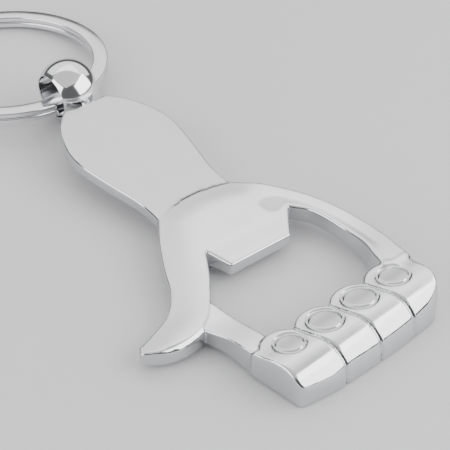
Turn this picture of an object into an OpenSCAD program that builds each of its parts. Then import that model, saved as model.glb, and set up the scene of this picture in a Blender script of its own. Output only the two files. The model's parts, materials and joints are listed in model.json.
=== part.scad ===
// Keychain bottle opener in the shape of a thumbs-up hand.
// It lies at rest on its flat back: the casting stands on the fist's front bottom edge and on the ball,
// so it is tilted a few degrees. +Y runs from the fist to the key ring, +Z is up, the thumb points to -X.

/* [Casting] */
// Thickness of the forearm plate
plate_t = 2.2; // [2:0.1:2.6]
// Thickness of the palm and the thumb
palm_t = 3.0; // [2.6:0.1:3.4]
// Thickness of the cap lip
lip_t = 2.3; // [2:0.1:2.6]
// Thickness of the bar between the thumb and the fist
bar_t = 2.8; // [2.4:0.1:3.2]
// Thickness of the right arm beside the cap opening
arm_t = 2.8; // [2.4:0.1:3.2]
// Half width of the forearm at its widest place
forearm_half = 9.5; // [8.5:0.1:10]
// Half width of the forearm at the wrist
wrist_half = 7.2; // [6.6:0.1:7.6]

/* [Fist] */
// Distance between two fingers
finger_pitch = 7.1; // [6.8:0.1:7.4]
// Turn of the row of fingers against the forearm, degrees
fist_yaw = 4; // [2:0.5:5]
// Highest place of the fingers above the flat back
finger_top = 5.9; // [5.4:0.1:6.4]
// Width of the grooves between the fingers
groove_w = 0.6; // [0.4:0.05:0.8]
// Outer diameter of the circle on each knuckle
knuckle_d = 5.6; // [5:0.1:6]
// Width of the circle's groove
knuckle_w = 0.5; // [0.4:0.05:0.7]
// Depth of the circle's groove
knuckle_depth = 0.3; // [0.2:0.05:0.5]

/* [Swivel] */
// Diameter of the swivel ball
ball_d = 10.5; // [10.3:0.1:11]
// Diameter of the cross hole in the ball
ball_hole_d = 7.5; // [7.3:0.05:7.7]
// Roll of the ball about the forearm's axis, degrees
ball_roll = 2; // [0:0.5:3]
// Radius of the shallow notch in the end of the forearm
notch_r = 14; // [10:1:20]
// Diameter of the rivet's shank
rivet_d = 1.2; // [1:0.05:1.3]
// Diameter of the rivet's shoulder between the ball and the forearm
rivet_shoulder_d = 2; // [1.8:0.1:2.1]
// Diameter of the rivet's head
rivet_head_d = 3.2; // [3:0.1:3.4]
// Thickness of the rivet's head
rivet_head_t = 0.6; // [0.5:0.05:0.7]
// Depth of the rivet's shank in the forearm
rivet_grip = 5; // [4:0.5:7]
// Radial running clearance of the shank in the ball
rivet_clear = 0.06; // [0.03:0.01:0.1]

/* [Split ring] */
// Outer diameter of the ring
ring_d = 35.5; // [34:0.1:36]
// Width of the flat wire
wire_w = 2.6; // [2.4:0.05:2.7]
// Thickness of one turn of the wire
wire_t = 1.02; // [0.9:0.01:1.04]
// Gap between the two turns
turn_gap = 0.06; // [0.04:0.01:0.1]
// Turn of the ring towards the thumb's side, degrees
ring_yaw = 9; // [7:0.5:10]
// Slope of the ring from the ball down to its far side, degrees
ring_tilt = 3.5; // [3:0.1:3.6]
// Slope of the ring from the thumb's side down to the other side, degrees
ring_roll = 3; // [2:0.5:3]
// Height of the wire's middle where it passes through the ball
ring_pass_z = 3.75; // [3.7:0.05:3.8]
// Place of the step from the lower turn to the upper turn, degrees
step_at = 150; // [100:1:260]

/* [Hidden] */
$fn = 96;
// How far a cutting shape stands proud of what it cuts
eps = 0.01;
// Longer than the fist in every direction
span = 40;
// Gap that keeps a turning face free of a fixed one
running_gap = 0.05;

// The lip's straight edge lies on y = 0, and the middle of the fist and the forearm near x = 0
spline_steps = 4;
forearm_x = -0.4;
notch_y = 44.7;
fist_x = 0.4;
fist_y = -19;
ball_x = 0.5;
ball_y = 50.8;

// Right half of the forearm, from the notch to inside the palm, about its own middle
forearm_half_outline = [
    [3.6, notch_y + 0.8],
    [6.7, 42.3],
    [forearm_half - 0.5, 37],
    [forearm_half, 32.5],
    [forearm_half - 1, 26],
    [wrist_half + 0.2, 20.5],
    [wrist_half, 16.5],
    [wrist_half + 0.4, 12]
];
// Back of the hand and thumb, from the wrist round the tip to the bar
thumb_back = [
    [-7.5, 15], [-10.6, 10.6], [-13.6, 5.4], [-15.9, 0.8], [-19, -2.5], [-22.7, -4.6], [-26.2, -6.2]
];
thumb_tip = [[-26.9, -6.7], [-26.5, -7.2]];
thumb_under = [[-26.5, -7.2], [-24.4, -8.7], [-21.6, -9.5], [-18.7, -9.4], [-16.4, -8.8]];
thumb_inner = [[-12.8, -5], [-11, -2.7], [-9.1, -0.1], [-6.5, 4.1]];
// Cap lip, with its slanted sides and its root in the palm
lip_left = [-4.8, 0];
lip_right = [6.7, 0];
lip_side_l = [-6.5, 4.1];
lip_side_r = [10.1, 4.7];
lip_root_l = [-7, 5.3];
lip_root_r = [10.6, 5.9];
// Right arm, from the wrist to the fist
arm_outer = [
    [7, 15], [10.9, 10.6], [14.4, 5.2], [16.5, -0.3], [17.4, -5.2], [17.3, -9.8], [16.7, -14], [16.2, -20]
];
arm_inner = [[10.1, 4.7], [12.3, 1.9], [13.2, -1.2], [13.6, -5.2], [13.5, -9], [12.4, -12.6], [11.6, -16]];
// Bar between the thumb and the fist
bar_inner = [[-12.4, -4.6], [-11.7, -10], [-11.3, -15.8]];
bar_outer = [[-17, -8.4], [-15.7, -12.4], [-15.2, -18]];
// Arc of the wrist's step, from the right arm to the back of the hand
wrist_y = 15;
wrist_right = 7;
wrist_w = 14.5;
wrist_rise = 1.3;
wrist_steps = 8;

// Side profile of a finger: distance behind the knuckles, height above the back
finger_profile = [
    [5, 0], [5, 4.3], [1.5, 4.9], [-1.2, finger_top - 0.25], [-3.2, finger_top], [-4.9, finger_top - 0.5],
    [-6.4, finger_top - 1.4], [-7.6, finger_top - 2.5], [-8.4, finger_top - 4.1], [-8.8, 0]
];
fist_left = -15.3;
fist_right = 16;
fist_slant = 1.2;
fist_seam = 2.3;
scallop_r = 4.4;
scallop_rise = 1.6;
front_r = 76;
front_v = -8.4;
front_y = fist_y + (front_v + front_r) * cos(fist_yaw) - front_r;
corner_r = 4.5;
groove_depth = 0.35;
// Height and slope of the fingers where the knuckle circles are
knuckle_z = finger_top - 0.58;
knuckle_slope = 15;

ball_r = ball_d / 2;
hole_r = ball_hole_d / 2;
lever = ball_y - front_y;
rivet_z = plate_t / 2;
rest_tilt = asin(ball_r / norm([lever, rivet_z])) - atan(rivet_z / lever);
// The head's flat underside clears the curved wall of the cross hole at its rim
head_y = ball_y - sqrt(hole_r * hole_r - rivet_head_d * rivet_head_d / 4) + running_gap;
shoulder_y = ball_y - sqrt(ball_r * ball_r - rivet_shoulder_d * rivet_shoulder_d / 4) - running_gap;

ring_r = (ring_d - wire_w) / 2;
ring_t = 2 * wire_t + turn_gap;
ring_pass_y = ball_y - 0.87;
// How far the ring's own axis leans towards +Y
ring_lean = sin(ring_yaw) * sin(ring_roll) * cos(ring_tilt) + cos(ring_yaw) * sin(ring_tilt);
ring_mid_y = ring_pass_y
    + ring_r * (cos(ring_yaw) * cos(ring_tilt) - sin(ring_yaw) * sin(ring_roll) * sin(ring_tilt));
ring_end_y = ring_mid_y + ring_d / 2 * sqrt(1 - ring_lean * ring_lean) + ring_t / 2 * ring_lean;
// Angles between two sections of the wire, and from the middle of the step to its ends
ring_step = 6;
step_half = 12;

tip_x = min([for (p = concat(thumb_tip, thumb_back)) p[0]]);
arm_x = max([for (p = spline(arm_outer)) p[0]]);
mid_x = (tip_x + arm_x) / 2;
mid_y = (front_y + ring_end_y) / 2;

// A smooth curve through the points
function blend(a, b, c, d, t) = 0.5 * (2 * b + (c - a) * t + (2 * a - 5 * b + 4 * c - d) * t * t
    + (3 * b - a - 3 * c + d) * t * t * t);
function spline(p) = concat(
    [for (i = [0 : len(p) - 2]) for (j = [0 : spline_steps - 1])
        blend(p[max(i - 1, 0)], p[i], p[i + 1], p[min(i + 2, len(p) - 1)], j / spline_steps)],
    [p[len(p) - 1]]);
function reversed(p) = [for (i = [len(p) - 1 : -1 : 0]) p[i]];
function flipped(p) = [for (q = reversed(p)) [-q[0], q[1]]];
// An open line moved to its left by a distance
function moved_left(p, d) = [for (i = [0 : len(p) - 1])
    let (run = p[min(i + 1, len(p) - 1)] - p[max(i - 1, 0)]) p[i] + d / norm(run) * [-run[1], run[0]]];

// Moves the parts so that the middle of the whole object's box is the origin
module place() {
    translate([-mid_x, -mid_y, 0])
        children();
}

// Tilts what belongs to the casting about the fist's front bottom edge
module resting() {
    place()
        translate([0, front_y, 0])
        rotate([rest_tilt, 0, 0])
        translate([0, -front_y, 0])
        children();
}

module forearm() {
    half = spline(forearm_half_outline);
    translate([forearm_x, 0, 0])
        linear_extrude(plate_t)
        polygon(concat(half, flipped(half)));
}

module palm() {
    wrist = [for (i = [0 : wrist_steps])
        [wrist_right - wrist_w * i / wrist_steps, wrist_y + wrist_rise * sin(180 * i / wrist_steps)]];
    linear_extrude(palm_t)
        polygon(concat(wrist, spline(thumb_back), thumb_tip, spline(thumb_under), spline(thumb_inner),
            [lip_side_l, lip_side_r], reversed(spline([arm_outer[0], arm_outer[1], arm_outer[2]]))));
}

module cap_lip() {
    linear_extrude(lip_t)
        polygon([lip_root_l, lip_side_l, lip_left, lip_right, lip_side_r, lip_root_r]);
}

module link_bar() {
    linear_extrude(bar_t)
        polygon(concat(spline(bar_inner), reversed(spline(bar_outer))));
}

module right_arm() {
    linear_extrude(arm_t)
        polygon(concat(spline(arm_outer), reversed(spline(arm_inner))));
}

// Plan of the fist: scalloped towards the cap opening, bowed at the front, round at the right corner
module fist_plan() {
    left = fist_left - fist_x;
    right = fist_right - fist_x;
    corner_u = right - corner_r;
    corner_v = front_v + corner_u * corner_u / (2 * front_r) + corner_r;
    intersection() {
        translate([0, front_v + front_r])
            circle(r = front_r, $fn = 360);
        union() {
            polygon([
                [left, fist_seam - 1], [left + fist_slant, front_v], [corner_u, front_v - 1],
                [corner_u, corner_v], [right, corner_v], [right, fist_seam - 1]
            ]);
            translate([corner_u, corner_v])
                circle(r = corner_r);
            for (i = [-1.5 : 1 : 1.5])
                translate([i * finger_pitch, fist_seam + scallop_rise - scallop_r])
                    intersection() {
                        circle(r = scallop_r);
                        square([finger_pitch, 2 * scallop_r], center = true);
                    }
        }
    }
}

module fist() {
    translate([fist_x, fist_y, 0])
        rotate([0, 0, fist_yaw])
        difference() {
            intersection() {
                linear_extrude(finger_top + 1)
                    fist_plan();
                translate([-span / 2, 0, 0])
                    rotate([90, 0, 90])
                    linear_extrude(span)
                    polygon(finger_profile);
            }
            finger_grooves();
            knuckle_circles();
        }
}

// A square groove between each pair of fingers, over the top and down the front
module finger_grooves() {
    for (i = [-1 : 1])
        translate([i * finger_pitch - groove_w / 2, 0, 0])
            rotate([90, 0, 90])
            linear_extrude(groove_w)
            difference() {
                translate([-span / 2, 0])
                    square([span, span / 2]);
                polygon(moved_left(finger_profile, groove_depth));
            }
}

module knuckle_circles() {
    for (i = [-1.5 : 1 : 1.5])
        translate([i * finger_pitch, 0, knuckle_z])
            rotate([-knuckle_slope, 0, 0])
            translate([0, 0, -knuckle_depth])
            difference() {
                cylinder(d = knuckle_d, h = knuckle_d);
                translate([0, 0, -eps])
                    cylinder(d = knuckle_d - 2 * knuckle_w, h = knuckle_d + 2 * eps);
            }
}

module opener_body() {
    color([0.78, 0.78, 0.8])
        resting()
        difference() {
            union() {
                forearm();
                palm();
                cap_lip();
                link_bar();
                right_arm();
                fist();
            }
            translate([ball_x, notch_y + notch_r, -eps])
                cylinder(r = notch_r, h = plate_t + 2 * eps);
            translate([ball_x, notch_y - rivet_grip, rivet_z])
                rotate([-90, 0, 0])
                cylinder(d = rivet_d, h = rivet_grip + rivet_d);
        }
}

// Ball with its cross hole and the running bore for the rivet
module swivel_ball() {
    color([0.85, 0.85, 0.86])
        resting()
        translate([ball_x, ball_y, rivet_z])
        rotate([0, -ball_roll, 0])
        difference() {
            rotate([0, 90, 0])
                rotate_extrude()
                intersection() {
                    circle(r = ball_r);
                    translate([hole_r, -ball_r])
                        square([ball_r, ball_d]);
                }
            translate([0, -ball_d, 0])
                rotate([-90, 0, 0])
                cylinder(d = rivet_d + 2 * rivet_clear, h = ball_d);
        }
}

// Rivet: its head inside the cross hole, its shoulder in the gap, its shank in the forearm
module swivel_rivet() {
    shoulder_start = head_y - shoulder_y;
    shoulder_end = head_y - notch_y - running_gap;
    shank_end = head_y - notch_y + rivet_grip;
    color([0.6, 0.6, 0.62])
        resting()
        translate([ball_x, head_y, rivet_z])
        rotate([90, 0, 0])
        rotate_extrude()
        polygon([
            [0, -rivet_head_t], [rivet_head_d / 4, -rivet_head_t], [rivet_head_d / 2, -rivet_head_t / 2],
            [rivet_head_d / 2, 0], [rivet_d / 2, 0], [rivet_d / 2, shoulder_start],
            [rivet_shoulder_d / 2, shoulder_start], [rivet_shoulder_d / 2, shoulder_end],
            [rivet_d / 2, shoulder_end], [rivet_d / 2, shank_end], [0, shank_end]
        ]);
}

// Height of the wire's middle at an angle along the two turns
function wire_z(a) = (wire_t + turn_gap) / 2
    * (a < 360 - step_half ? -1 : a > 360 + step_half ? 1 : sin(90 * (a - 360) / step_half));

// Two turns of flat wire, swept round with a step from the lower turn to the upper turn
module split_ring() {
    turns = [for (a = [step_half + 1 : ring_step : 720 - step_half - 1]) a];
    last = len(turns) - 1;
    corners = [[-1, -1], [1, -1], [1, 1], [-1, 1]];
    points = [for (a = turns) for (c = corners)
        [(ring_r + c[0] * wire_w / 2) * cos(a + step_at), (ring_r + c[0] * wire_w / 2) * sin(a + step_at),
            wire_z(a) + c[1] * wire_t / 2]];
    sides = [for (i = [0 : last - 1]) for (k = [0 : 3])
        [4 * i + k, 4 * i + 4 + k, 4 * i + 4 + (k + 1) % 4, 4 * i + (k + 1) % 4]];
    ends = [[0, 1, 2, 3], [4 * last + 3, 4 * last + 2, 4 * last + 1, 4 * last]];
    color([0.75, 0.75, 0.77])
        place()
        translate([ball_x, ring_pass_y, ring_pass_z])
        rotate([-ring_tilt, ring_roll, ring_yaw])
        translate([0, ring_r, 0])
        polyhedron(points, concat(sides, ends));
}

opener_body();
swivel_ball();
swivel_rivet();
split_ring();
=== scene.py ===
import json
import math

import bpy
import numpy as np
from mathutils import Matrix, Vector


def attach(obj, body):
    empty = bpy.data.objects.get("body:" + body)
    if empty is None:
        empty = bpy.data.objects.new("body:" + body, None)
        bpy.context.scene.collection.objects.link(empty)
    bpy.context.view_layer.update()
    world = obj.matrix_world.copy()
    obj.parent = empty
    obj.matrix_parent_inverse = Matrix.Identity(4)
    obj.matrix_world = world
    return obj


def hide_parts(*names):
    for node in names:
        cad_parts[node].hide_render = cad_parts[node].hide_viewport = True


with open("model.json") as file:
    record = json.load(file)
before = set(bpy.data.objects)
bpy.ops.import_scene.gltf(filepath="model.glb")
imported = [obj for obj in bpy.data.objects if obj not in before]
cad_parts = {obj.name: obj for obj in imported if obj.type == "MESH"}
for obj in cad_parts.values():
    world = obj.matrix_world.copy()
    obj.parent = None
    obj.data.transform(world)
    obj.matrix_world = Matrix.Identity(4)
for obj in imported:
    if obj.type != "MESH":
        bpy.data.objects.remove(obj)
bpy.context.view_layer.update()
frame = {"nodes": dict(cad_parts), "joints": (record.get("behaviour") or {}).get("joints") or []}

MM = 0.001

# ---------------------------------------------------------------- places taken from the frame
# The casting is drawn in its own millimetres: y = 0 on the lip's edge, z = 0 on the flat back.
# The swivel's axis and centre in the frame say where that system lies.
joints = {j["name"]: j for j in frame["joints"]}
swivel_axis = Vector(joints["ball_swivel"]["axis"])
ball_centre = Vector(joints["ball_swivel"]["pos_m"])
ring_hinge = Vector(joints["ring_swing"]["pos_m"])
ring_tangent = Vector(joints["ring_swing"]["axis"])
BALL_X, BALL_Y, BALL_Z = 0.5, 50.8, 1.1
BALL_R, HOLE_R, RIM_R, BORE_R = 5.25, 3.75, 0.12, 0.66
BALL_ROLL, RING_TILT = math.radians(2), math.radians(3.5)
rest_tilt = math.atan2(swivel_axis.z, swivel_axis.y)
CASTING = (Matrix.Translation(ball_centre) @ Matrix.Rotation(rest_tilt, 4, "X")
           @ Matrix.Scale(MM, 4) @ Matrix.Translation((-BALL_X, -BALL_Y, -BALL_Z)))


# ---------------------------------------------------------------- camera, light, floor
def make_camera():
    azimuth, elevation = math.radians(-38.4), math.radians(40)
    field_of_view, distance = math.radians(14), 0.2819
    back = Vector((math.sin(azimuth) * math.cos(elevation), -math.cos(azimuth) * math.cos(elevation),
                   math.sin(elevation)))
    palm_top, aim_height = Vector((-0.38, 7.35, 3.0)), 4.5 * MM
    aim = CASTING @ palm_top
    aim.z = aim_height
    data = bpy.data.cameras.new("camera")
    data.angle = field_of_view
    data.clip_start, data.clip_end = 0.01, 10
    camera = bpy.data.objects.new("camera", data)
    camera.location = aim + back * distance
    camera.rotation_mode = "QUATERNION"
    camera.rotation_quaternion = (-back).to_track_quat("-Z", "Y")
    bpy.context.scene.collection.objects.link(camera)
    bpy.context.scene.camera = camera


def softbox(name, azimuth, elevation, distance, size, radiance):
    a, e = math.radians(azimuth), math.radians(elevation)
    back = Vector((math.sin(a) * math.cos(e), -math.cos(a) * math.cos(e), math.sin(e)))
    data = bpy.data.lights.new(name, "AREA")
    data.shape = "RECTANGLE"
    data.size, data.size_y = size
    data.energy = radiance * math.pi * size[0] * size[1]
    light = bpy.data.objects.new(name, data)
    light.location = back * distance
    light.rotation_mode = "QUATERNION"
    light.rotation_quaternion = (-back).to_track_quat("-Z", "Y")
    bpy.context.scene.collection.objects.link(light)


def make_studio():
    world = bpy.data.worlds.new("studio")
    bpy.context.scene.world = world
    world.use_nodes = True
    world.node_tree.nodes["Background"].inputs["Color"].default_value = (0.98, 0.99, 1.0, 1)
    world.node_tree.nodes["Background"].inputs["Strength"].default_value = 0.15
    # A large box behind and a dim one overhead light the flat faces, and two bright ones give the chrome
    # its bands
    softbox("ceiling_box", 0, 90, 0.60, (1.0, 1.0), 0.85)
    softbox("back_box", 141, 46, 0.50, (1.2, 0.46), 1.6)
    softbox("right_box", 39, 29, 0.45, (0.54, 0.38), 4.6)
    softbox("left_box", -94, 27, 0.45, (0.46, 0.34), 4.0)
    floor_mesh = bpy.data.meshes.new("floor")
    half, drop = 0.9, 0.00002
    floor_mesh.from_pydata([(-half, -half, 0), (half, -half, 0), (half, half, 0), (-half, half, 0)], [],
                           [(0, 1, 2, 3)])
    floor = bpy.data.objects.new("floor", floor_mesh)
    floor.location.z = -drop
    floor.data.materials.append(floor_material())
    bpy.context.scene.collection.objects.link(floor)


# ---------------------------------------------------------------- materials
def new_material(name):
    material = bpy.data.materials.new(name)
    material.use_nodes = True
    return material, material.node_tree.nodes["Principled BSDF"]


def floor_material():
    material, shader = new_material("pale_floor")
    shader.inputs["Base Color"].default_value = (0.58, 0.58, 0.59, 1)
    shader.inputs["Roughness"].default_value = 0.55
    return material


def noise(nodes, links, coordinate, scale, detail):
    tex = nodes.new("ShaderNodeTexNoise")
    tex.inputs["Scale"].default_value = scale
    tex.inputs["Detail"].default_value = detail
    links.new(coordinate, tex.inputs["Vector"])
    return tex.outputs["Fac"]


def spread(nodes, links, value, low, high, from_min=0.0, from_max=1.0):
    """The value moved from its own range to the one from low to high."""
    node = nodes.new("ShaderNodeMapRange")
    node.inputs["From Min"].default_value = from_min
    node.inputs["From Max"].default_value = from_max
    node.inputs["To Min"].default_value = low
    node.inputs["To Max"].default_value = high
    links.new(value, node.inputs["Value"])
    return node.outputs["Result"]


def mix_colours(nodes, links, factor, first, second):
    """A colour between two, each of which is a constant or a node's output."""
    node = nodes.new("ShaderNodeMixRGB")
    links.new(factor, node.inputs["Fac"])
    for socket, colour in (("Color1", first), ("Color2", second)):
        if isinstance(colour, tuple):
            node.inputs[socket].default_value = colour + (1,)
        else:
            links.new(colour, node.inputs[socket])
    return node.outputs["Color"]


def mesh_attribute(nodes, name):
    """The number that set_attribute stored under this name."""
    node = nodes.new("ShaderNodeAttribute")
    node.attribute_name = name
    return node.outputs["Fac"]


def scaled(colour, factor):
    return tuple(min(1, c * factor) for c in colour)


SMEAR_SCALE, SMEAR_LOW, SMEAR_HIGH = 260, 0.3, 0.7
GRAIN_SCALE, GRAIN_HEIGHT, SATIN_GRAIN = 9000, 0.00002, 4
# Share of the darkened pearl colour: it paints shade along the wrist and in the recess, and darkens the
# forearm and the knuckle discs
DARKENED_PEARL_SHARE = 0.62


def plated_metal(name, colour, polished, satin=None, pearl=None, grain=0.02):
    """Bright plating with faint smears and grain. Given a satin roughness and a pearl colour, the mesh's
    satin attribute says where the face is matt and pearly, and a second attribute where that colour is
    darkened:
    painted shade along the wrist and in the recess, and a darker tone on the forearm and the knuckle discs."""
    material, shader = new_material(name)
    nodes, links = material.node_tree.nodes, material.node_tree.links
    shader.inputs["Metallic"].default_value = 1.0
    coordinate = nodes.new("ShaderNodeTexCoord").outputs["Object"]
    smears = noise(nodes, links, coordinate, SMEAR_SCALE, 4)
    rough = spread(nodes, links, smears, polished * 0.8, polished * 1.25, SMEAR_LOW, SMEAR_HIGH)
    plate = mix_colours(nodes, links, smears, scaled(colour, 0.97), scaled(colour, 1.02))
    bump = nodes.new("ShaderNodeBump")
    bump.inputs["Distance"].default_value = GRAIN_HEIGHT
    bump.inputs["Strength"].default_value = grain
    if satin is not None:
        where = mesh_attribute(nodes, "satin")
        plate = mix_colours(nodes, links, where, plate, pearl)
        # Painted shade: the pearl colour darkened along the wrist and in the recess, and also darker on the
        # forearm and the knuckle discs
        plate = mix_colours(nodes, links, mesh_attribute(nodes, "painted_shade_and_tone"), plate, scaled(pearl, DARKENED_PEARL_SHARE))
        blend = nodes.new("ShaderNodeMix")
        links.new(where, blend.inputs["Factor"])
        links.new(rough, blend.inputs["A"])
        links.new(spread(nodes, links, smears, satin * 0.93, satin * 1.08, SMEAR_LOW, SMEAR_HIGH),
                  blend.inputs["B"])
        rough = blend.outputs["Result"]
        links.new(spread(nodes, links, where, 0.0, grain * SATIN_GRAIN), bump.inputs["Strength"])
    links.new(plate, shader.inputs["Base Color"])
    links.new(rough, shader.inputs["Roughness"])
    links.new(noise(nodes, links, coordinate, GRAIN_SCALE, 2), bump.inputs["Height"])
    links.new(bump.outputs["Normal"], shader.inputs["Normal"])
    return material


# ---------------------------------------------------------------- outlines of the casting, millimetres
def spline(points, steps=8):
    """A smooth curve through the points."""
    p = np.array(points, float)
    out = []
    for i in range(len(p) - 1):
        a, b, c, d = p[max(i - 1, 0)], p[i], p[i + 1], p[min(i + 2, len(p) - 1)]
        for t in np.arange(steps) / steps:
            out.append(0.5 * (2 * b + (c - a) * t + (2 * a - 5 * b + 4 * c - d) * t ** 2
                              + (3 * b - a - 3 * c + d) * t ** 3))
    return np.array(out + [p[-1]])


PLATE_T, PALM_T, LIP_T, BAR_T = 2.2, 3.0, 2.3, 2.8
FOREARM_X, NOTCH_Y, NOTCH_R = -0.4, 44.7, 14
FOREARM_HALF, WRIST_HALF = 9.5, 7.2
forearm_right = spline([(3.6, NOTCH_Y + 0.8), (6.7, 42.3), (FOREARM_HALF - 0.5, 37), (FOREARM_HALF, 32.5),
                        (FOREARM_HALF - 1, 26), (WRIST_HALF + 0.2, 20.5), (WRIST_HALF, 16.5),
                        (WRIST_HALF + 0.4, 12)])
forearm_outline = np.concatenate([forearm_right, forearm_right[::-1] * (-1, 1)]) + (FOREARM_X, 0)
thumb_back = spline([(-7.5, 15), (-10.6, 10.6), (-13.6, 5.4), (-15.9, 0.8), (-19, -2.5), (-22.8, -4.3),
                     (-26.3, -5.5)])
thumb_under = spline([(-26.7, -7.1), (-24.4, -8.7), (-21.6, -9.5), (-18.7, -9.4), (-16.4, -8.8)])
thumb_inner = spline([(-12.8, -5), (-11, -2.7), (-9.1, -0.1), (-6.5, 4.1)])
lip_outline = [(-6.5, 4.1), (-4.8, 0), (6.7, 0), (10.1, 4.7)]
arm_outer = spline([(7, 15), (10.9, 10.6), (14.4, 5.2), (16.5, -0.3), (17.4, -5.2), (17.3, -9.8),
                    (16.7, -14), (16.2, -20)])
arm_inner = spline([(10.1, 4.7), (12.3, 1.9), (13.2, -1.2), (13.6, -5.2), (13.5, -9), (12.4, -12.6),
                    (11.6, -16)])
bar_inner = spline([(-12.4, -4.6), (-11.7, -10), (-11.3, -15.8)])
bar_outer = spline([(-17, -8.4), (-15.7, -12.4), (-15.2, -18)])
wrist_arc = np.array([(7 - 14.5 * t, 15 + 1.3 * math.sin(math.pi * t)) for t in np.linspace(0, 1, 17)])
# The palm, the thumb, the lip and the root of the right arm, in one outline
palm_outline = np.concatenate([wrist_arc, thumb_back[1:], [(-26.9, -6.7)], thumb_under, thumb_inner,
                               lip_outline, arm_inner[1:9], arm_outer[1:20][::-1]])
arm_outline = np.concatenate([arm_outer, arm_inner[::-1]])
bar_outline = np.concatenate([bar_inner, bar_outer[::-1]])
# The right arm's lowered strip, whose round end lies in the palm
recess_outline = spline([(11.9, -15.5), (13.9, -9), (13.9, -3.5), (12.7, 1.5), (10.4, 4.9), (8.2, 4.4),
                         (6.6, 5.6), (6.4, 7.9), (8.2, 8.9), (11, 7.4), (14, 3), (17, -4), (16, -14),
                         (14, -17)])

# The fist is drawn about the middle of its knuckles, u to the right and v towards the forearm
FIST_X, FIST_Y, FIST_YAW = 0.4, -19, math.radians(4)
PITCH, FINGER_TOP, SEAM = 7.1, 5.9, 2.3
# Where the fingers and the seams between them lie across the fist, in finger widths
FINGERS, SEAMS = (-1.5, -0.5, 0.5, 1.5), (-1, 0, 1)
FIST_LEFT, FIST_RIGHT, FIST_SLANT, FIST_BACK = -15.3, 16, 1.2, SEAM + 0.2
# The fingers end in round tips towards the palm, and their front is bowed
SCALLOP_R, SCALLOP_TIP, FINGER_LAP = 4.4, SEAM + 1.6, 0.02
FRONT_V, FRONT_R = -8.4, 76
finger_profile = np.concatenate([
    [(9, -3), (9, 4.2)],
    spline([(5, 4.3), (1.5, 4.9), (-1.2, FINGER_TOP - 0.25), (-3.2, FINGER_TOP), (-4.9, FINGER_TOP - 0.5),
            (-6.4, FINGER_TOP - 1.4), (-7.6, FINGER_TOP - 2.5), (-8.4, FINGER_TOP - 4.1), (-8.75, 0)]),
    [(-8.75, -3)]])
# The seams between the fingers wander sideways on their way over the top and down the front
SEAM_V = (-8.6, -7.8, -5.2, -1.2, 2.5)
SEAM_SHIFT = (-0.3, 0.75, 0.75, -0.1, -0.6)
SEAM_HALF, SEAM_DEPTH, FINGER_CROWN = 0.28, 0.30, 0.02
# Each finger's place with the radius of the circle on its knuckle
KNUCKLES = tuple(zip(FINGERS, (2.25, 2.6, 2.6, 2.4)))
KNUCKLE_HALF, KNUCKLE_DEPTH = 0.36, 0.26
# Roundings of the flat back's edge and of the other edges
FOOT, FOREARM_EDGE, HAND_EDGE, BAR_EDGE, NOTCH_EDGE, JOIN = 0.3, 0.36, 0.4, 0.3, 0.3, 0.25
# A height above the whole casting, and a distance that is outside every shape here
CAST_TOP, FAR = 6.5, 9.0

# How much each face's pearl colour is darkened (painted shade along the wrist and in the recess, a darker
# tone on the forearm and the knuckle discs), and the satin share of the fingers
FOREARM_DARKENING, WRIST_PAINTED_SHADE, RECESS_PAINTED_SHADE, KNUCKLE_DARKENING = 0.75, 0.7, 0.8, 0.65
FINGER_SATIN = 0.8


# ---------------------------------------------------------------- distance fields
def polygon_distance(polygon, x, y):
    """Signed distance to a closed outline, negative inside."""
    polygon = np.asarray(polygon, float)
    nearest = np.full(x.shape, 1e9)
    inside = np.zeros(x.shape, bool)
    for a, b in zip(polygon, np.roll(polygon, -1, 0)):
        edge = b - a
        length2 = max(edge @ edge, 1e-12)
        px, py = x - a[0], y - a[1]
        t = np.clip((px * edge[0] + py * edge[1]) / length2, 0, 1)
        nearest = np.minimum(nearest, (px - t * edge[0]) ** 2 + (py - t * edge[1]) ** 2)
        if a[1] != b[1]:
            crosses = ((a[1] > y) != (b[1] > y)) & (x < a[0] + (y - a[1]) * edge[0] / edge[1])
            inside ^= crosses
    return np.where(inside, -1, 1) * np.sqrt(nearest)


def line_distance(line, x, y):
    """Distance to an open line."""
    nearest = np.full(x.shape, 1e9)
    for a, b in zip(line[:-1], line[1:]):
        edge = b - a
        px, py = x - a[0], y - a[1]
        t = np.clip((px * edge[0] + py * edge[1]) / max(edge @ edge, 1e-12), 0, 1)
        nearest = np.minimum(nearest, (px - t * edge[0]) ** 2 + (py - t * edge[1]) ** 2)
    return np.sqrt(nearest)


def meet(a, b, r):
    """The part inside both fields, with its edge rounded to radius r."""
    return (np.minimum(np.maximum(a, b), -r) + np.hypot(np.maximum(a + r, 0), np.maximum(b + r, 0)))


def join(a, b, r):
    """Either field, with the inner corner filled to about radius r."""
    h = np.clip(0.5 + 0.5 * (b - a) / r, 0, 1)
    return b + (a - b) * h - r * h * (1 - h)


def ramp(value, start, end):
    """0 on the start's side, 1 past the end, and a smooth step between; the end may be the lower one."""
    t = np.clip((value - start) / (end - start), 0, 1)
    return t * t * (3 - 2 * t)


def slab(outline, top, z, edge):
    """An extruded outline from the flat back up to a top height, with rounded edges."""
    return meet(meet(outline[..., None], z - top, edge), -z, FOOT)


def recess_strip(x, y):
    """1 in the lowered strip of the right arm and 0 outside it, with soft sides that fade near the fist."""
    inside = ramp(-polygon_distance(recess_outline, x, y), 0, 0.8)
    return inside * ramp(line_distance(arm_outer, x, y), 1.9, 2.6) * ramp(y, -12.5, -9)


def palm_crown(x, y, width):
    """0 along the wrist and the thumb's back, rising to 1 at the given distance from them."""
    return ramp(line_distance(np.concatenate([wrist_arc, thumb_back]), x, y), 0, width)


def arm_rise(x, y):
    """The right arm climbs to the height of the fourth finger and ends under it."""
    climb, arm_left, end_fall = 2.1, 8, 0.28
    return climb * ramp(y, -2.5, -18.5) * (x > arm_left) * (1 - end_fall * ramp(y, -15.5, -17.1))


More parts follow.
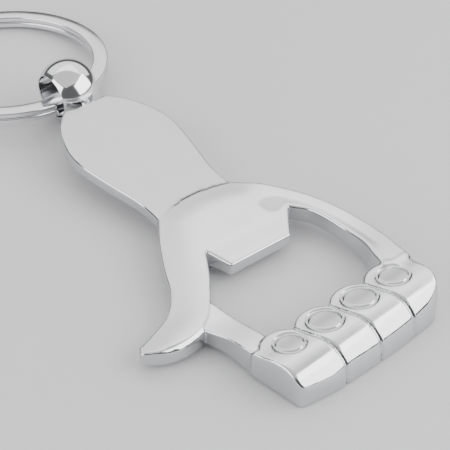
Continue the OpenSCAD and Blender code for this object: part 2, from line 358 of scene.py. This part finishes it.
def hand_top(x, y):
    """Height of the palm, the thumb and the right arm over the flat back."""
    crown_drop, crown_width, recess_drop, thumb_drop = 0.5, 4.6, 0.1, 0.28
    lip_fall = ramp(y, 5.2, 0) * ramp(x, -7.6, -5.4) * ramp(x, 11, 9)
    # The thumb's side of the palm lies a little lower, past a soft ridge
    ridge = (3.7 - y) * -0.385 - (x + 6.9) * 0.923
    thumb_fall = thumb_drop * ramp(ridge, 0, 4.5) * ramp(y, -9, -3)
    return (PALM_T - crown_drop * (1 - palm_crown(x, y, crown_width)) - (PALM_T - LIP_T) * lip_fall
            + arm_rise(x, y) - recess_drop * recess_strip(x, y) - thumb_fall)


def casting_field(x, y, z):
    """Signed distance to the casting on a grid: x and y are columns, z is the height of each layer."""
    forearm = slab(polygon_distance(forearm_outline, x, y), PLATE_T, z, FOREARM_EDGE)

    # The thumb's lower edge is rounded more broadly than the other edges, but not at its tip
    under = 1 - ramp(line_distance(thumb_under, x, y), 0, 3)
    edge = HAND_EDGE + 0.9 * under * ramp(x, -25.5, -22.5)
    outline = np.minimum(polygon_distance(palm_outline, x, y), polygon_distance(arm_outline, x, y))
    hand = slab(outline, hand_top(x, y)[..., None], z, edge[..., None])

    # The bar from the thumb climbs towards the first finger
    bar_top = BAR_T - 0.1 + 1.6 * ramp(y, -7.5, -17.5)
    bar = slab(polygon_distance(bar_outline, x, y), bar_top[..., None], z, BAR_EDGE)
    body = np.minimum(np.minimum(forearm, hand), bar)

    # Beyond this line the fist is too far away to change the joined surface
    near = y < -9
    u, v = fist_place(x, y)
    fist = np.full(body.shape, FAR)
    fist[near] = fist_field(u[near], v[near], z)
    body = join(body, fist, JOIN + 0.6 * ramp(x, 10.5, 12.5)[..., None])

    notch = NOTCH_R - np.hypot(x - BALL_X, y - NOTCH_Y - NOTCH_R)
    return meet(body, notch[..., None], NOTCH_EDGE)


def fist_place(x, y):
    """The same places measured across and along the fingers."""
    c, s = math.cos(FIST_YAW), math.sin(FIST_YAW)
    return (x - FIST_X) * c + (y - FIST_Y) * s, (y - FIST_Y) * c - (x - FIST_X) * s


def seam_shift(v):
    """How far the seams wander to the right at a place along the fingers."""
    return np.interp(v, SEAM_V, SEAM_SHIFT)


def seam_distance(u, v):
    """Distance across the fist to the nearest seam."""
    return np.min([np.abs(u - i * PITCH - seam_shift(v)) for i in SEAMS], axis=0)


def fist_plan(u, v, groove):
    """The fist from above: a block, four round finger backs and the bowed front with its grooves."""
    left, right = FIST_LEFT - FIST_X, FIST_RIGHT - FIST_X
    slant_end, beyond_front = -9, -12
    block = np.array([(left, FIST_BACK), (left + FIST_SLANT, slant_end), (left + FIST_SLANT, beyond_front),
                      (right, beyond_front), (right, FIST_BACK)])
    plan = polygon_distance(block, u, v)
    fingers = np.full(u.shape, FAR)
    for i in FINGERS:
        across = u - i * PITCH - seam_shift(v)
        tip = np.hypot(across, v - (SCALLOP_TIP - SCALLOP_R)) - SCALLOP_R
        fingers = np.minimum(fingers, np.maximum(tip, np.abs(across) - PITCH / 2 - FINGER_LAP))
    plan = np.minimum(plan, fingers)
    front = np.hypot(u, v - FRONT_V - FRONT_R) - FRONT_R + groove
    left_corner, corner_growth = 0.7, 3.6
    return meet(plan, front, left_corner + corner_growth * ramp(u, 2, 8))


def dent(distance, half):
    """A rounded groove: 1 in its middle, 0 beyond 1.3 times its half width."""
    return 1 - ramp(distance / half, 0, 1.3)


def fist_field(u, v, z):
    """Signed distance to the fist for columns at u and v."""
    vv = np.broadcast_to(v[:, None], (len(v), len(z)))
    zz = np.broadcast_to(z, vv.shape)
    seam = seam_distance(u, v)
    groove = SEAM_DEPTH * dent(seam, SEAM_HALF)
    crown = FINGER_CROWN * (1 - np.clip(seam / PITCH * 2, 0, 1)) ** 3
    knuckle = np.zeros(u.shape)
    for i, radius in KNUCKLES:
        knuckle += KNUCKLE_DEPTH * dent(np.abs(np.hypot(u - i * PITCH, v) - radius), KNUCKLE_HALF)
    on_top = ramp(zz, 4, 4.5)
    side = polygon_distance(finger_profile, vv, zz) + (groove + crown)[:, None] + knuckle[:, None] * on_top
    # The fingers roll over into the front, more softly towards the right
    roll = 0.5 + 1.2 * ramp(v, -4.5, -7) * ramp(u, -10, -4)
    return meet(meet(fist_plan(u, v, groove)[:, None], side, roll[:, None]), -zz, FOOT)


# ---------------------------------------------------------------- surface of a field
def surface(field, xs, ys, zs):
    """Vertices and four-sided faces of the surface where the field is zero: one vertex in each cell that
    the surface crosses, and one face for each grid edge that it crosses."""
    shape = np.array(field.shape)
    solid = field < 0
    cells = tuple(shape - 1)
    total, count = np.zeros(cells + (3,), np.float32), np.zeros(cells, np.float32)
    grid = [g.astype(np.float32) for g in np.meshgrid(xs, ys, zs, indexing="ij")]
    quads = []
    for axis in range(3):
        low = [slice(None)] * 3
        high = [slice(None)] * 3
        low[axis], high[axis] = slice(0, -1), slice(1, None)
        a, b = field[tuple(low)], field[tuple(high)]
        cross = solid[tuple(low)] != solid[tuple(high)]
        t = np.where(cross, a / np.where(a == b, 1, a - b), 0)
        point = [g[tuple(low)] + (t * (grid[k][tuple(high)] - grid[k][tuple(low)]) if k == axis else 0)
                 for k, g in enumerate(grid)]
        others = [k for k in range(3) if k != axis]
        for i in (0, 1):
            for j in (0, 1):
                source, target = [slice(None)] * 3, [slice(None)] * 3
                for k, o in zip(others, (i, j)):
                    source[k] = slice(o, shape[k] - 1 + o)
                source, target = tuple(source), tuple(target)
                hit = cross[source]
                for k in range(3):
                    total[..., k] += np.where(hit, point[k][source], 0)
                count += hit
        quads.append((axis, others, cross, solid[tuple(low)]))
    used = count > 0
    index = np.full(cells, -1, np.int64)
    index[used] = np.arange(used.sum())
    vertices = total[used] / count[used][:, None]
    faces = []
    for axis, others, cross, first in quads:
        inner = [slice(None)] * 3
        for k in others:
            inner[k] = slice(1, -1)
        where = np.argwhere(cross[tuple(inner)])
        for k in others:
            where[:, k] += 1
        flip = first[tuple(where.T)]
        ring = []
        for i, j in ((-1, -1), (0, -1), (0, 0), (-1, 0)):
            cell = where.copy()
            cell[:, others[0]] += i
            cell[:, others[1]] += j
            ring.append(index[tuple(cell.T)])
        ring = np.stack(ring, 1)
        turn = flip if axis != 1 else ~flip
        faces.append(np.where(turn[:, None], ring, ring[:, ::-1]))
    return vertices, np.concatenate(faces)


def mesh_object(name, vertices, faces):
    mesh = bpy.data.meshes.new(name)
    mesh.from_pydata([tuple(v) for v in vertices], [], [tuple(int(i) for i in f) for f in faces])
    mesh.validate()
    mesh.shade_smooth()
    obj = bpy.data.objects.new(name, mesh)
    bpy.context.scene.collection.objects.link(obj)
    return obj


def grid_line(*stretches):
    """Grid places along one axis: (start, end, step) for each stretch."""
    line = [stretches[0][0]]
    for start, end, step in stretches:
        n = max(1, round((end - line[-1]) / step))
        line.extend(line[-1] + (end - line[-1]) * np.arange(1, n + 1) / n)
    return np.array(line)


def set_attribute(mesh, name, values):
    """Stores one number for each vertex, which the material reads."""
    layer = mesh.attributes.new(name, "FLOAT", "POINT")
    layer.data.foreach_set("value", values.astype(np.float32))


def paint_finish_and_shade(mesh, vertices):
    """Satin is 1 on flat matt faces and 0 on polished edges and in grooves; a second attribute is above 0
    where
    the satin colour is darkened: painted shade along the wrist and in the recess, and a darker tone on the
    forearm and the knuckle discs."""
    normals = np.zeros(len(mesh.vertices) * 3, np.float32)
    mesh.vertices.foreach_get("normal", normals)
    x, y, z = vertices.T
    u, v = fist_place(x, y)
    circle = np.min([np.hypot(u - i * PITCH, v) - radius for i, radius in KNUCKLES], axis=0)
    disc = circle < -0.4
    in_fist = ramp(y, -15.5, -17) * (z > 0.5)
    flat = ramp(np.abs(normals.reshape(-1, 3)[:, 2]), 0.89, 0.97)
    off_seam = ramp(seam_distance(u, v), 0.2, 0.5)
    off_circle = ramp(np.abs(circle), 0.2, 0.5)
    finger = np.where(disc, 1, FINGER_SATIN * flat * off_seam * off_circle)
    set_attribute(mesh, "satin", flat + (finger - flat) * in_fist)
    # Painted shade: a darker band along the wrist and the thumb's back, and darker satin in the lowered
    # recess
    palm_painted_shade = np.maximum(RECESS_PAINTED_SHADE * recess_strip(x, y), WRIST_PAINTED_SHADE * (1 - palm_crown(x, y, 7)))
    # The forearm's satin colour is darker from the wrist on, and the knuckle discs are darker
    painted_shade_and_tone = np.maximum(palm_painted_shade, FOREARM_DARKENING * ramp(y, 13.5, 17)) * flat * (z > 1)
    set_attribute(mesh, "painted_shade_and_tone", painted_shade_and_tone + (KNUCKLE_DARKENING * disc - painted_shade_and_tone) * in_fist)


def make_casting():
    coarse = 1
    fist_end, palm_end = -13.4, 15.6
    xs = grid_line((-27.4, 18.0, 0.195 * coarse))
    ys = grid_line((-28.3, fist_end, 0.16 * coarse), (fist_end, palm_end, 0.27 * coarse),
                   (palm_end, 46.6, 0.42 * coarse))
    zs = grid_line((-0.33, CAST_TOP, 0.18 * coarse))
    x, y = np.meshgrid(xs, ys, indexing="ij")
    vertices, faces = surface(casting_field(x, y, zs), xs, ys, zs)
    casting = mesh_object("thumbs_up_casting", vertices, faces)
    paint_finish_and_shade(casting.data, vertices)
    casting.data.transform(CASTING)
    casting.data.materials.append(plated_metal("satin_and_chrome_plate", (0.64, 0.645, 0.66), 0.07,
                                               satin=0.36, pearl=(0.88, 0.88, 0.895)))
    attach(casting, "opener")
    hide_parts("opener_body")


# ---------------------------------------------------------------- ball, rivet, ring
def lathe(name, profile, segments=96):
    """A closed solid of revolution about X: the profile is a closed loop of (x, radius)."""
    angles = np.linspace(0, 2 * math.pi, segments, endpoint=False)
    rings = [[(x, r * math.cos(a), r * math.sin(a)) for a in angles] for x, r in profile]
    vertices = [v for ring in rings for v in ring]
    faces = []
    n = len(profile)
    for i in range(n):
        j = (i + 1) % n
        for k in range(segments):
            m = (k + 1) % segments
            faces.append((i * segments + k, i * segments + m, j * segments + m, j * segments + k))
    return mesh_object(name, vertices, faces)


def ball_profile():
    """Half section of the ball: the hole, its rounded rims and the outside."""
    rim_r = HOLE_R + RIM_R
    rim_x = math.sqrt((BALL_R - RIM_R) ** 2 - rim_r ** 2)
    lean = math.atan2(rim_x, rim_r)
    left = [(-rim_x - RIM_R * math.sin(a), rim_r - RIM_R * math.cos(a))
            for a in np.linspace(0, math.pi - lean, 12)]
    outer = [(-BALL_R * math.sin(a), BALL_R * math.cos(a)) for a in np.linspace(lean, -lean, 48)[1:-1]]
    right = [(-x, r) for x, r in left[::-1]]
    bore = [(x, HOLE_R) for x in np.linspace(rim_x, -rim_x, 20)[1:-1]]
    return left + outer + right + bore


def make_ball():
    ball = lathe("swivel_ball_polished", ball_profile(), 128)
    axis_r, past_ball = 1e-4, 8
    cutter = lathe("bore_cutter", [(0, axis_r), (0, BORE_R), (past_ball, BORE_R), (past_ball, axis_r)], 48)
    cutter.data.transform(Matrix.Rotation(-math.pi / 2, 4, "Z"))
    cut = ball.modifiers.new("rivet_bore", "BOOLEAN")
    cut.operation = "DIFFERENCE"
    cut.solver = "EXACT"
    cut.object = cutter
    bpy.context.view_layer.update()
    shape = bpy.data.meshes.new_from_object(ball.evaluated_get(bpy.context.evaluated_depsgraph_get()))
    ball.modifiers.clear()
    ball.data = shape
    bpy.data.objects.remove(cutter)
    ball.data.transform(CASTING @ Matrix.Translation((BALL_X, BALL_Y, BALL_Z))
                        @ Matrix.Rotation(-BALL_ROLL, 4, "Y"))
    ball.data.materials.clear()
    ball.data.materials.append(plated_metal("ball_chrome", (0.78, 0.78, 0.79), 0.10, grain=0.0))
    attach(ball, "ball")
    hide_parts("swivel_ball")


def make_ring():
    """The split ring: flat wire with rounded corners, swept twice round with a step between the turns."""
    wire_w, wire_t, gap, outer_d = 2.6, 1.02, 0.06, 35.5
    step_at, step_half, corner = math.radians(150), 12, 0.26
    # The wire's ends are rounded by making the last sections smaller
    end_sizes = (0.62, 0.86, 0.97)
    radius = (outer_d - wire_w) / 2
    section = []
    for sx, sz, start in ((1, 1, 0), (-1, 1, 90), (-1, -1, 180), (1, -1, 270)):
        for a in np.radians(np.linspace(start, start + 90, 6)):
            section.append((sx * (wire_w / 2 - corner) + corner * math.cos(a),
                            sz * (wire_t / 2 - corner) + corner * math.sin(a)))
    section = np.array(section)
    vertices, faces = [], []
    angles = np.arange(step_half + 1, 720 - step_half - 0.9, 2.0)
    n = len(section)
    for index, a in enumerate(angles):
        height = math.sin(math.radians(90 * np.clip((a - 360) / step_half, -1, 1))) * (wire_t + gap) / 2
        ends = min(index, len(angles) - 1 - index)
        size = end_sizes[ends] if ends < len(end_sizes) else 1.0
        c, s = math.cos(math.radians(a) + step_at), math.sin(math.radians(a) + step_at)
        for w, h in section * size:
            vertices.append(((radius + w) * c, (radius + w) * s, height + h))
    for i in range(len(angles) - 1):
        for k in range(n):
            m = (k + 1) % n
            faces.append((i * n + k, i * n + m, (i + 1) * n + m, (i + 1) * n + k)[::-1])
    faces.append(tuple(range(n)))
    faces.append(tuple(range(len(vertices) - n, len(vertices)))[::-1])
    ring = mesh_object("split_ring_wire", vertices, faces)
    yaw = math.atan2(ring_tangent.y, ring_tangent.x)
    roll = -math.asin(ring_tangent.z)
    ring.data.transform(Matrix.Translation(ring_hinge) @ Matrix.Rotation(yaw, 4, "Z")
                        @ Matrix.Rotation(roll, 4, "Y") @ Matrix.Rotation(-RING_TILT, 4, "X")
                        @ Matrix.Scale(MM, 4) @ Matrix.Translation((0, radius, 0)))
    ring.data.materials.append(plated_metal("ring_nickel", (0.80, 0.80, 0.82), 0.13, grain=0.03))
    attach(ring, "ring")
    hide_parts("split_ring")


def dress_rivet():
    rivet = frame["nodes"]["swivel_rivet"]
    rivet.data.materials.clear()
    rivet.data.materials.append(plated_metal("rivet_steel", (0.62, 0.62, 0.64), 0.2, grain=0.05))


make_camera()
make_studio()
make_casting()
make_ball()
make_ring()
dress_rivet()
